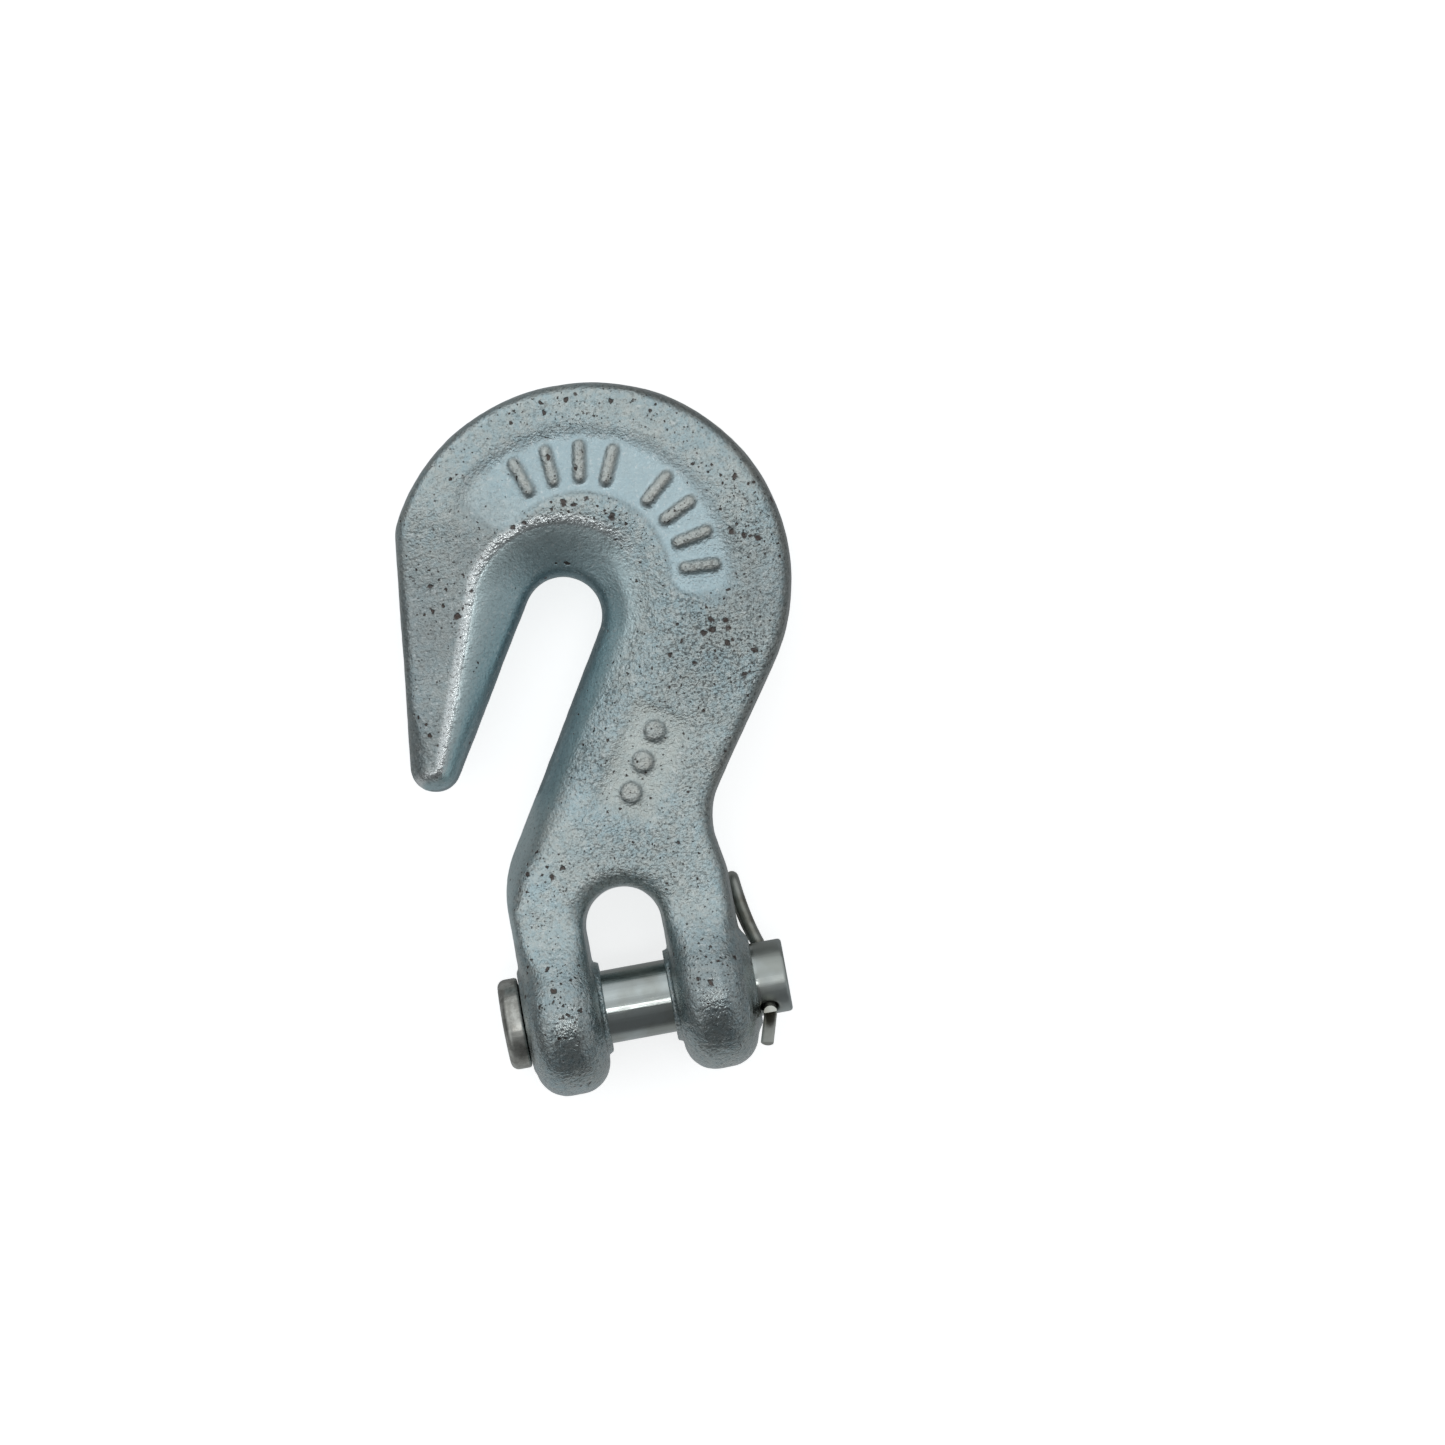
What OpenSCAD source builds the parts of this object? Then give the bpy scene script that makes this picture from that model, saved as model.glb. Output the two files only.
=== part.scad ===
// Clevis grab hook for a trailer safety chain: a one-piece forging with a narrow throat,
// a headed clevis pin through its fork, and a split cotter pin that keeps the clevis pin in.
// The origin is on the clevis pin's axis, midway between the ears and on the forging's mid-plane.
// +X runs along the clevis pin toward the cotter, +Y along the line of pull, +Z through the thickness.

/* [Clevis pin] */
// Diameter of the clevis pin
pin_d = 11.11; // [10.8:0.01:11.3]
// Diameter of the pin's head
head_d = 13.8; // [13:0.1:15]
// Thickness of the pin's head
head_t = 3.3; // [2.5:0.1:4]
// Distance from the middle of the fork to the plain end of the pin
pin_reach = 22.85; // [22.4:0.05:24]

/* [Fork] */
// Gap between the two ears
fork_gap = 11.4; // [10.8:0.1:12]
// Width of each ear along the pin
ear_w = 11.4; // [10.8:0.1:12]
// Outer radius of the ears about the pin's axis
ear_r = 12.3; // [11.8:0.1:12.8]
// Height of the arch centre above the pin's axis
arch_y = 11.8; // [11:0.1:12.5]

/* [Hook] */
// Thickness of the forging
body_t = 16; // [15:0.5:17]
// Outer radius of the bowl
bowl_r = 30.1; // [29.5:0.1:30.5]
// Height of the bowl's centre above the pin's axis
bowl_y = 63.8; // [63:0.1:64.5]
// Width of the throat, which takes one link of 10 mm wire edgewise
throat_w = 11.7; // [11:0.1:12.2]
// Angle of the throat from the line of pull
throat_a = 31.4; // [30:0.2:33]
// Radius of the hook's tip seen from above
tip_r = 3.88; // [3.6:0.02:4.1]
// Thickness of the forging at its tip
tip_t = 10; // [9:0.5:12]

/* [Cotter pin] */
// Width of the half-round cotter wire
cotter_d = 2; // [1.8:0.1:2.1]
// Diameter of the cross hole in the clevis pin
cross_hole_d = 2.8; // [2.8:0.1:3.2]
// Turn of the cross hole about the clevis pin, measured from the line of pull
cross_hole_a = 35; // [30:1:40]
// Distance from the clevis pin's axis to the outer end of the cotter's eye
eye_reach = 19.9; // [18:0.1:20.5]

/* [Hidden] */
$fn = 64;
past = 1;                              // how far a cutting solid runs past what it cuts

half_t = body_t / 2;
pin_r = pin_d / 2;
running_gap = 0.08;                    // radial clearance of the clevis pin in its bores
bore_r = pin_r + running_gap;
fork_half = fork_gap / 2;
side_x = fork_half + ear_w;            // outer faces of the ears
ear_x = fork_half + ear_w / 2;         // middle of each ear
blade_x = side_x - 0.15;               // the shank's sides start just inside the ears' faces
blade_y = 1.5;                         // where the shank's outline starts, inside the ears
arch_r = fork_half + 0.1;              // the fork's crown, a little wider than the gap at the ears
crown_inset = 1.4;
crown_lap = 4;                         // how far the crown's bevel runs on past its half circle, in degrees
ear_round = 4.8;                       // rounding of an ear's rim
head_gap = 0.4;                        // from the left ear to the underside of the head
head_x = side_x + head_gap;
head_bevel = 1.1;
under_bevel = 0.35;
tail_bevel = 0.6;
cross_x = side_x + 2.3;                // the cross hole's place along the pin

// Ramps fall from the ears' rims to the flat face of the shank and meet it in a crease.
crease_y = 11.75;
ease_a = atan2(half_t, crease_y) + acos(ear_r / norm([crease_y, half_t]));
ramp_w = 6.26;
ramp_sunk = 0.5;                       // how far a ramp starts inside the rim
ramp_root = 5;                         // how deep a ramp is rooted in the arm
ramp_foot = [0.6, -0.3];               // where it dips under the flat face, from the crease
ramp_heel = [2, 1];                    // how far its root runs inside the rim and short of the crease

// Raised pads round the bores: one on each outer face and a thin lip on each inner face.
pad_base_r = 7.9;
pad_top_r = 6.5;
left_pad = 0.25;
right_pad = 1;
lip_r = 6.9;
lip_h = 0.45;

// Edges: land is the half height of the upright band, inset how far in the flat face starts.
edge_inset = 1.8;
edge_land = 6.2;
throat_land = 2.4;
tip_land = 3.2;
mid_in = 0.35;                         // where the rounding's middle ring lies, as a share of the inset
mid_up = 0.62;                         // and as a share of the height from the land to the face

// Throat: a parallel slot with a round end.
throat_r = throat_w / 2;
throat_c = [-0.65, 59.4];
slot_side = [-cos(throat_a), sin(throat_a)];
end_inset = 8.6;                       // width of the bevel round the end of the throat
back_inset = 6.2;                      // on the shank's side, where the end of the throat runs into it
wide_from = 38;                        // the two angles between which the bevel round the end is widest
wide_to = 44;
shank_inset = 3.5;                     // on the shank's side, at the shoulder
point_inset = 3.3;                     // on the point's side, at the tip

// Point: its outer edge leans in toward the tip, and a heel of its own radius joins it to the bowl.
point_a = 6.45;
point_n = [-cos(point_a), sin(point_a)];
point_at = [-27.36, 42];
bowl_left = [3.8, bowl_y];
bowl_right = [4.75, bowl_y];
heel_r = 8;
heel_out = (point_at - bowl_left) * point_n;
heel_turn = acos((heel_out - heel_r) / (bowl_r - heel_r));
heel_a = 180 - point_a - heel_turn;
heel_c = bowl_left + (bowl_r - heel_r) * [cos(heel_a), sin(heel_a)];

// The tip's circle touches the outer edge and the throat's left wall.
wall_at = throat_c + throat_r * slot_side;
tip_c = meet(point_at - tip_r * point_n, point_n, wall_at + tip_r * slot_side, slot_side);

// Neck: a hollow in the back of the shank, joined to the bowl by a straight back.
neck_r = 10.7;
neck_c = [16 + neck_r, 24];
neck_far = neck_c - bowl_right;
back_a = atan2(neck_far.y, neck_far.x) + acos((bowl_r + neck_r) / norm(neck_far));
neck_ease_r = 12;
neck_ease_a = 12;
neck_ease_y = 16.47;

// Shoulder: the throat's right wall turns into the outer face of the left ear.
shoulder_r = 18;
shoulder_c = meet([shoulder_r - blade_x, 0], [1, 0],
                  throat_c - (throat_r + shoulder_r) * slot_side, slot_side);

// The point thins toward its tip from a fold across its root.
fold_len = 25;
point_lean = throat_a / 2 + point_a / 2;
thin_a = atan((body_t - tip_t) / 2 / fold_len);
wedge_l = 60;                          // length of the wedges that thin it
wedge_side = 1.6 * throat_r;           // how far they reach toward the shank, over the open throat

// Die marks: sunk panels with raised bars and studs.
panel_depth = 0.7;
mark_h = 2 * panel_depth - 0.1;        // marks are rooted one depth below the panel, and end under the face
panel_c = [3, 64];
panel_r = [13.4, 22.8];
panel_from = -17;
panel_sweep = 156;
bar_r = [15, 21.3];
bar_w = 1.7;
bar_step = 14.5;
bar_rows = [[-3, 4], [66, 4]];         // first angle and number of bars in each group
plate_c = [7.3, 35.6];
plate_size = [9.4, 17];
plate_a = 31.5;
stud_d = 3.2;
stud_step = 5;

// The eye leans toward the ear, and the long leg leans the same way where it leaves the cross hole.
eye_lean = 9.5;
leg_lean = 14;
eye_r = 1.6;                           // inner radius of the eye
eye_root = pin_r + 1;                  // where the wire parts toward the eye
near_bend = 55;                        // how far the short leg is bent up
near_len = 2.6;
far_len = 5.6;
leg_root = pin_r + 0.65;               // where the two legs part
eye_lap = 0.2;                         // how far the eye's sides run into its round end
eye_fit = 0.02;                        // how much slimmer they are all round, so that they end inside it
lap = 0.35;                            // how far lengths of wire run into one another
pair_d = cotter_d + 0.06;              // the two legs side by side in the cross hole
wire_steps = 8;                        // flats round the half circle of the wire

// Each stretch of the outline is an arc: centre, radius, first and last angle, steps, whether the arc
// is hollow, the insets of the flat face at its ends and the lands at its ends.
function stretch(c, r, a0, a1, n, hollow, inset0, inset1, land0, land1) =
    [for (i = [0:n])
        let (t = i / n, a = a0 + (a1 - a0) * t, d = [cos(a), sin(a)], inset = inset0 + (inset1 - inset0) * t)
        [c + r * d, c + (hollow ? r + inset : r - inset) * d, land0 + (land1 - land0) * t]];

// Where the line through p with normal n meets the line through q with normal m.
function meet(p, n, q, m) =
    let (s = n.x * m.y - n.y * m.x, u = p * n, v = q * m)
    [(u * m.y - v * n.y) / s, (v * n.x - u * m.x) / s];

// The outline is two chains with as many points each, from the fork to the tip: the back, bowl and heel
// on the outer side, and the shoulder and throat on the inner side.
tip_sweep = 180 - throat_a + point_a;
tip_share = 5 / 11;
tip_inset = (edge_inset + point_inset) / 2;
back_land = (tip_land + throat_land) / 2;

outer_side = concat(
    [[[blade_x, blade_y], [blade_x - edge_inset, blade_y], edge_land]],
    stretch([blade_x - neck_ease_r, neck_ease_y], neck_ease_r, 0, neck_ease_a, 2, false,
            edge_inset, edge_inset, edge_land, edge_land),
    stretch(neck_c, neck_r, 180 + neck_ease_a, 180 + back_a, 6, true,
            edge_inset, edge_inset, edge_land, edge_land),
    stretch(bowl_right, bowl_r, back_a, 90, 18, false, edge_inset, edge_inset, edge_land, edge_land),
    stretch(bowl_left, bowl_r, 90, heel_a - 6, 8, false, edge_inset, edge_inset, edge_land, edge_land),
    stretch(heel_c, heel_r, heel_a, 180 - point_a, 3, false, edge_inset, edge_inset, edge_land, edge_land),
    stretch(tip_c, tip_r, 180 - point_a, 180 - point_a + tip_share * tip_sweep, 5, false,
            edge_inset, tip_inset, tip_land, back_land)
);

inner_side = concat(
    [[[-blade_x, blade_y], [edge_inset - blade_x, blade_y], edge_land]],
    stretch(shoulder_c, shoulder_r, 180, 180 - throat_a, 9, false,
            edge_inset, shank_inset, edge_land, throat_land),
    stretch(throat_c, throat_r, -throat_a, wide_from, 12, true, back_inset, end_inset, throat_land, throat_land),
    stretch(throat_c, throat_r, wide_to, 180 - throat_a, 18, true, end_inset, end_inset, throat_land, throat_land),
    stretch(tip_c, tip_r, 360 - throat_a, 360 - throat_a - tip_share * tip_sweep, 5, false,
            point_inset, tip_inset, throat_land, back_land)
);

steps = len(outer_side);
outline = concat(outer_side, [for (i = [steps - 1:-1:0]) inner_side[i]]);

// Closed loops of points stacked from the bottom face to the top one.
function level(side) = [for (p = outline) [p[1].x, p[1].y, side * half_t]];
function round_level(side) = [for (p = outline)
    let (q = p[0] + mid_in * (p[1] - p[0])) [q.x, q.y, side * (p[2] + mid_up * (half_t - p[2]))]];
function land_level(side) = [for (p = outline) [p[0].x, p[0].y, side * p[2]]];

// A flat face as a strip of triangles from one chain to the other.
function strip(first, up) = [for (k = [0:steps - 2], half = [0, 1])
    let (n = len(outline), a = first + k, b = first + n - 1 - k,
         t = half == 0 ? [a, a + 1, b] : [a + 1, b - 1, b])
    up ? [t[2], t[1], t[0]] : t];

module blade() {
    n = len(outline);
    loops = [level(-1), round_level(-1), land_level(-1), land_level(1), round_level(1), level(1)];
    sides = [for (k = [0:len(loops) - 2], i = [0:n - 1], half = [0, 1])
        let (j = (i + 1) % n, a = k * n, b = a + n)
        half == 0 ? [a + i, b + j, a + j] : [a + i, b + i, b + j]];
    polyhedron([for (ring = loops, p = ring) p],
               concat(strip(0, false), strip((len(loops) - 1) * n, true), sides));
}

module along_x(from) {
    translate([from, 0, 0])
        rotate([0, 90, 0])
            children();
}

// A rounded disc about the pin's axis.
module ear(x) {
    edge = ear_w / 2;
    top = [for (i = [0:6]) let (a = i * 15) [ear_r - ear_round * (1 - cos(a)), edge - ear_round * (1 - sin(a))]];
    low = [for (i = [6:-1:0]) [top[i].x, -top[i].y]];
    along_x(x)
        rotate_extrude()
            polygon(concat([[0, -edge]], low, top, [[0, edge]]));
}

// The ramps on an arm, one on each face, that fall from the ear's rim to the crease.
module ramps(x) {
    start = (ear_r - ramp_sunk) * [cos(ease_a), sin(ease_a)];
    for (side = [0, 1])
        mirror([0, 0, side])
            translate([x - ramp_w / 2, 0, 0])
                rotate([90, 0, 90])
                    linear_extrude(ramp_w)
                        polygon([start, [crease_y, half_t] + ramp_foot, [crease_y - ramp_heel[1], ramp_root],
                                 [start.x - ramp_heel[0], ramp_root]]);
}

module pads() {
    along_x(side_x - past)
        cylinder(r1 = pad_base_r + past, r2 = pad_top_r, h = right_pad + past);
    along_x(-side_x - left_pad)
        cylinder(r = pad_base_r, h = left_pad + past);
    for (x = [fork_half - lip_h, -fork_half - past])
        along_x(x)
            cylinder(r = lip_r, h = lip_h + past);
}

// The gap between the arms, with a round crown that is bevelled on both faces.
module fork_slot() {
    crown = [for (i = [0:24]) let (a = i * 7.5) [arch_r * cos(a), arch_y + arch_r * sin(a)]];
    translate([0, 0, -half_t - past])
        linear_extrude(2 * (half_t + past))
            polygon(concat(crown, [[-arch_r, blade_y - past], [arch_r, blade_y - past]]));
    for (side = [0, 1])
        mirror([0, 0, side])
            translate([0, arch_y, 0])
                rotate([0, 0, -crown_lap])
                    rotate_extrude(angle = 180 + 2 * crown_lap)
                        polygon([[arch_r - 1, edge_land - 1], [arch_r + crown_inset, half_t],
                                 [arch_r + crown_inset, half_t + past], [arch_r - 1, half_t + past]]);
}

// Wedges that thin the point, each with its lower face hinged on the fold.
module point_wedges() {
    for (side = [0, 1])
        mirror([0, 0, side])
            translate([tip_c.x, tip_c.y, 0])
                rotate([0, 0, -point_lean])
                    translate([0, fold_len, half_t])
                        rotate([thin_a, 0, 0])
                            translate([-wedge_l / 2, -wedge_l, 0])
                                cube([wedge_l / 2 + wedge_side, wedge_l, half_t]);
}

module arc_panel() {
    translate([panel_c.x, panel_c.y, half_t - panel_depth])
        rotate([0, 0, panel_from])
            rotate_extrude(angle = panel_sweep)
                translate([panel_r[0], 0])
                    square([panel_r[1] - panel_r[0], panel_depth + past]);
}

module arc_bars() {
    for (row = bar_rows, i = [0:row[1] - 1])
        translate([panel_c.x, panel_c.y, half_t - 2 * panel_depth])
            rotate([0, 0, row[0] + i * bar_step])
                translate([bar_r[0], -bar_w / 2, 0])
                    cube([bar_r[1] - bar_r[0], bar_w, mark_h]);
}

module plate_panel() {
    translate([plate_c.x, plate_c.y, half_t - panel_depth])
        rotate([0, 0, -plate_a])
            translate([-plate_size.x / 2, -plate_size.y / 2, 0])
                cube([plate_size.x, plate_size.y, panel_depth + past]);
}

module plate_studs() {
    for (i = [-1:1])
        translate([plate_c.x, plate_c.y, half_t - 2 * panel_depth])
            rotate([0, 0, -plate_a])
                translate([0, i * stud_step, 0])
                    cylinder(d = stud_d, h = mark_h);
}

// The flat part of the forging: shank, bowl and point, with the fork's gap between two arms.
module flat_forging() {
    difference() {
        union() {
            difference() {
                blade();
                fork_slot();
                arc_panel();
                plate_panel();
            }
            arc_bars();
            plate_studs();
        }
        point_wedges();
    }
}

module hook_body() {
    color("lightsteelblue")
        difference() {
            union() {
                ear(ear_x);
                ear(-ear_x);
                ramps(ear_x);
                ramps(-ear_x);
                flat_forging();
                pads();
            }
            along_x(-side_x - 2 * past)
                cylinder(r = bore_r, h = 2 * (side_x + 2 * past));
        }
}

module clevis_pin() {
    outer_x = -head_x - head_t;
    color("silver")
        difference() {
            along_x(0)
                rotate_extrude()
                    polygon([[0, outer_x], [head_d / 2 - head_bevel, outer_x],
                             [head_d / 2, outer_x + head_bevel], [head_d / 2, -head_x - under_bevel],
                             [head_d / 2 - under_bevel, -head_x], [pin_r, -head_x],
                             [pin_r, pin_reach - tail_bevel], [pin_r - tail_bevel, pin_reach],
                             [0, pin_reach]]);
            translate([cross_x, 0, 0])
                rotate([90 - cross_hole_a, 0, 0])
                    cylinder(d = cross_hole_d, h = 3 * pin_r, center = true);
        }
}

// The section of the half-round wire, with its round side toward the angle turn.
module half_round(turn, r = cotter_d / 2) {
    polygon([for (i = [0:wire_steps])
        let (a = turn - 90 + i * 180 / wire_steps)
        r * [cos(a), sin(a)]]);
}

// A length of the wire along +Y, lying on its flat face at z = 0.
module half_wire(length, r = cotter_d / 2) {
    rotate([-90, 0, 0])
        linear_extrude(length)
            half_round(270, r);
}

module eye() {
    centre = eye_reach - eye_root - eye_r - cotter_d / 2;
    open_a = asin(eye_r / centre);
    translate([0, eye_root, 0])
        rotate([0, 0, eye_lean]) {
            for (side = [0, 1])
                mirror([0, 0, side])
                    rotate([open_a, 0, 0])
                        translate([0, 0, eye_fit])
                            half_wire(centre * cos(open_a) + eye_lap, cotter_d / 2 - 2 * eye_fit);
            translate([0, centre, 0])
                rotate([0, 90, 0])
                    rotate([0, 0, -open_a])
                        rotate_extrude(angle = 180 + 2 * open_a)
                            translate([eye_r, 0])
                                half_round(0);
        }
}

module cotter_pin() {
    color("gray")
        translate([cross_x, 0, 0])
            rotate([-cross_hole_a, 0, 0]) {
                eye();
                translate([0, -leg_root, 0])
                    rotate([-90, 0, 0])
                        cylinder(d = pair_d, h = leg_root + eye_root + lap);
                translate([0, -leg_root, 0])
                    rotate([180 - near_bend, 0, 0])
                        mirror([0, 0, 1])
                            half_wire(near_len);
                translate([0, -leg_root, 0])
                    rotate([0, 0, -leg_lean])
                        translate([0, lap - far_len, 0])
                            mirror([0, 0, 1])
                                half_wire(far_len);
            }
}

hook_body();
clevis_pin();
cotter_pin();
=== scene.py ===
"""Looks of the clevis grab hook: a plated forging, its headed clevis pin and its split cotter pin.

The lengths below are in millimetres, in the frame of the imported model, and each finished mesh is in metres.
The forging and the clevis pin are each a distance field on a grid, skinned with four-sided faces.
The cotter pin is a half-round section swept along a path.
Zones are numbers from 0 to 1 at each point of the forging, which its material reads.
"""

import math

import bmesh
import bpy
import numpy as np
from mathutils import Matrix, Vector


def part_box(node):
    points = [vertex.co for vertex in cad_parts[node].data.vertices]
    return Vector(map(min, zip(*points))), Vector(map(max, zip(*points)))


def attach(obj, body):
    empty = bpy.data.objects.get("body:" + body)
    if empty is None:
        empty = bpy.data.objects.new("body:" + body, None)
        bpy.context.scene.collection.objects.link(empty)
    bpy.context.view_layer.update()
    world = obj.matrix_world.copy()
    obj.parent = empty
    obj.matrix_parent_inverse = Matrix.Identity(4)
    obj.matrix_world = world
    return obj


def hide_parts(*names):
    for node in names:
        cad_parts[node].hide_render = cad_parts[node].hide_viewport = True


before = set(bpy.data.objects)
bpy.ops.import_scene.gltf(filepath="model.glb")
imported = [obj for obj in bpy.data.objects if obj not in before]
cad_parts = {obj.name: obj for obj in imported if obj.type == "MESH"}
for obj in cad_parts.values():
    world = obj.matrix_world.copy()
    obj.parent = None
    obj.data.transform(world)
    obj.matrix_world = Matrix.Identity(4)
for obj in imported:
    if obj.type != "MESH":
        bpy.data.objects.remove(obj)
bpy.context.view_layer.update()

MM = 0.001


def sizes(node):
    """Lowest and highest corner of a CAD node, in millimetres."""
    low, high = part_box(node)
    return np.array(low) / MM, np.array(high) / MM


hook_low, hook_high = sizes("hook_body")
pin_low, pin_high = sizes("clevis_pin")

# Fork and ears: the crease is where an arm starts to thicken toward its ear
ear_r = hook_high[2]
fork_half = 5.7
ear_w = 11.4
ear_x = fork_half + ear_w / 2
side_x = fork_half + ear_w
fork_slack = 0.05
arch_y = 11.8
crown_round = 1.0
ear_round = 4.8
crease_y = 11.75

# Flat part of the forging
half_t = 8.0
edge_r = 2.0
wall_draft = 0.07
bowl_r = 30.1
bowl_y = hook_high[1] - bowl_r
bowl_left = np.array([3.8, bowl_y])
bowl_right = np.array([4.75, bowl_y])
blade_x = side_x - 0.15
neck_r = 10.7
neck_c = np.array([16 + neck_r, 24])
neck_ease_r = 12.0
neck_ease_y = 16.47
heel_r = 8.0
shoulder_r = 18.0

# Throat: a parallel slot with a round end, bevelled on both faces. A land is the height above the
# middle plane at which the bevel ends, and each w is the bevel's width seen from above.
throat_r = 5.85
throat_a = math.radians(31.4)
throat_c = np.array([-0.65, 59.4])
throat_land = 2.4
mouth_land = 6.0
bevel_w = 8.6
shank_bevel_w = 6.0
shoulder_bevel_w = 3.5
fork_bevel_w = 1.7
narrow_from = 41
slot_side = np.array([-math.cos(throat_a), math.sin(throat_a)])

# Point: over its last stretch it thins toward the tip, and its face falls away toward its outer side
point_a = math.radians(6.45)
point_n = np.array([-math.cos(point_a), math.sin(point_a)])
point_at = np.array([-27.36, 42.0])
point_lean = (throat_a + point_a) / 2
tip_r = 3.88
tip_half = 5.8
fold_len = 40.0
roof_slope = 0.14

# Die marks: bars in an arc-shaped panel and studs in a small plate
panel_c = np.array([3.0, 64.0])
panel_mid_r = 18.1
panel_half_w = 4.7
panel_from, panel_to = math.radians(-17), math.radians(139)
panel_depth = 0.55
plate_c = np.array([7.3, 35.6])
plate_half = np.array([4.7, 8.5])
plate_a = math.radians(31.5)
mark_height = 0.55
bar_groups = (-3.0, 66.0)
bar_count = 4
bar_spread = 14.5
bar_half_len = 2.3
bar_r = 0.85
stud_r = 1.6
stud_spacing = 5.0
mark_soft = 0.8

# Raised rims round the bores
pad_height = 1.0
cone_r = 7.9
cone_slope = 1.4
cone_least, cone_most = 6.2, 8.6
head_pad_height = 0.25
lip_height = 0.8
lip_r = 7.0
head_pad_r = 7.9
rim_root = 3.0

# Clevis pin
pin_r = 5.555
bore_r = pin_r + 0.08
head_r = pin_high[2]
head_x = -side_x - 0.4
cross_x = side_x + 2.3
cross_hole_r = 1.4
cross_hole_a = math.radians(35)

# Cotter pin: the short leg is bent up, and the long leg leans a little toward the ear
wire_r = 1.0
leg_gap = 0.04
leg_root = pin_r + 0.65
short_leg = 2.6
short_bend = math.radians(125)
long_leg = 5.2
long_lean = math.radians(14)
eye_root = pin_r + 1.0
eye_r = 1.6
eye_reach = 19.9
eye_lean = 2.9
eye_lean_over = 9.2

# Cells of the grids, and how deep the uneven surface goes at each size of lump
forging_step = 0.43
pin_step = 0.24
surface_lumps = ((7.0, 0.06), (1.9, 0.015), (1.0, 0.022))
coarse_lump = 0.03
surface_shrink = 0.03


# ---- Shapes in the plane ----

def arc(centre, r, first, last, step=0.6):
    """Points along an arc, from one angle to another in degrees."""
    count = max(2, int(abs(last - first) / step) + 1)
    angles = np.radians(np.linspace(first, last, count))
    return np.column_stack([centre[0] + r * np.cos(angles), centre[1] + r * np.sin(angles)])


def meet(p, n, q, m):
    """Where the line through p with normal n meets the line through q with normal m."""
    return np.linalg.solve(np.array([n, m]), np.array([p @ n, q @ m]))


def outline():
    """The forging seen from above: its back and bowl, the tip, and its throat, as one closed loop.
    Also the throat's side alone, with the bevel's width and the height of its lower edge at each point."""
    heel_out = (point_at - bowl_left) @ point_n
    heel_a = 180 - math.degrees(point_a) - math.degrees(math.acos((heel_out - heel_r) / (bowl_r - heel_r)))
    heel_c = bowl_left + (bowl_r - heel_r) * np.array([math.cos(math.radians(heel_a)),
                                                       math.sin(math.radians(heel_a))])
    wall_at = throat_c + throat_r * slot_side
    tip_c = meet(point_at - tip_r * point_n, point_n, wall_at + tip_r * slot_side, slot_side)
    shoulder_c = meet(np.array([shoulder_r - blade_x, 0.0]), np.array([1.0, 0.0]),
                      throat_c - (throat_r + shoulder_r) * slot_side, slot_side)
    ease_c = np.array([blade_x - neck_ease_r, neck_ease_y])
    far = neck_c - ease_c
    ease_a = math.degrees(math.atan2(far[1], far[0])
                          - math.acos((neck_ease_r + neck_r) / np.linalg.norm(far)))
    far = neck_c - bowl_right
    back_a = math.degrees(math.atan2(far[1], far[0])
                          + math.acos((bowl_r + neck_r) / np.linalg.norm(far)))
    slant, lean = math.degrees(throat_a), math.degrees(point_a)
    back = np.vstack([
        [[blade_x, -1.0]],
        arc(ease_c, neck_ease_r, 0, ease_a),
        arc(neck_c, neck_r, 180 + ease_a, 180 + back_a),
        arc(bowl_right, bowl_r, back_a, 90),
        arc(bowl_left, bowl_r, 90, heel_a),
        arc(heel_c, heel_r, heel_a, 180 - lean),
        arc(tip_c, tip_r, 180 - lean, 270 - (slant + lean) / 2, 4),
    ])
    stretches = [
        (arc(tip_c, tip_r, 270 - (slant + lean) / 2, 360 - slant, 4), (2.4, 3.0), (2.9, 2.4)),
        (arc(throat_c, throat_r, 180 - slant, narrow_from), (bevel_w, bevel_w), (throat_land, throat_land)),
        (arc(throat_c, throat_r, narrow_from, -slant), (bevel_w, shank_bevel_w),
         (throat_land, throat_land)),
        (arc(shoulder_c, shoulder_r, 180 - slant, 180), (shoulder_bevel_w, fork_bevel_w),
         (throat_land, mouth_land)),
    ]
    rows = [np.column_stack([points, np.linspace(*width, len(points)), np.linspace(*land, len(points))])
            for points, width, land in stretches]
    inner = np.vstack(rows + [[[-blade_x, -1.0, fork_bevel_w, mouth_land]]])
    return np.vstack([back, inner[:, :2]]), inner, tip_c


def segments(points, closed):
    """Pairs of neighbours in a list of points."""
    after = np.roll(points, -1, 0) if closed else points[1:]
    return zip(points if closed else points[:-1], after)


def loop_distance(x, y, loop):
    """Signed distance from points in the plane to a closed loop, negative inside it."""
    nearest = np.full(x.shape, np.inf, np.float32)
    inside = np.zeros(x.shape, bool)
    for a, b in segments(loop, True):
        e = b - a
        if e @ e < 1e-9:
            continue
        t = np.clip(((x - a[0]) * e[0] + (y - a[1]) * e[1]) / (e @ e), 0, 1)
        nearest = np.minimum(nearest, (x - a[0] - t * e[0]) ** 2 + (y - a[1] - t * e[1]) ** 2)
        if e[1] != 0:
            spans = (a[1] > y) != (b[1] > y)
            inside ^= spans & (x < a[0] + e[0] * (y - a[1]) / e[1])
    return np.where(inside, -1, 1) * np.sqrt(nearest)


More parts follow.
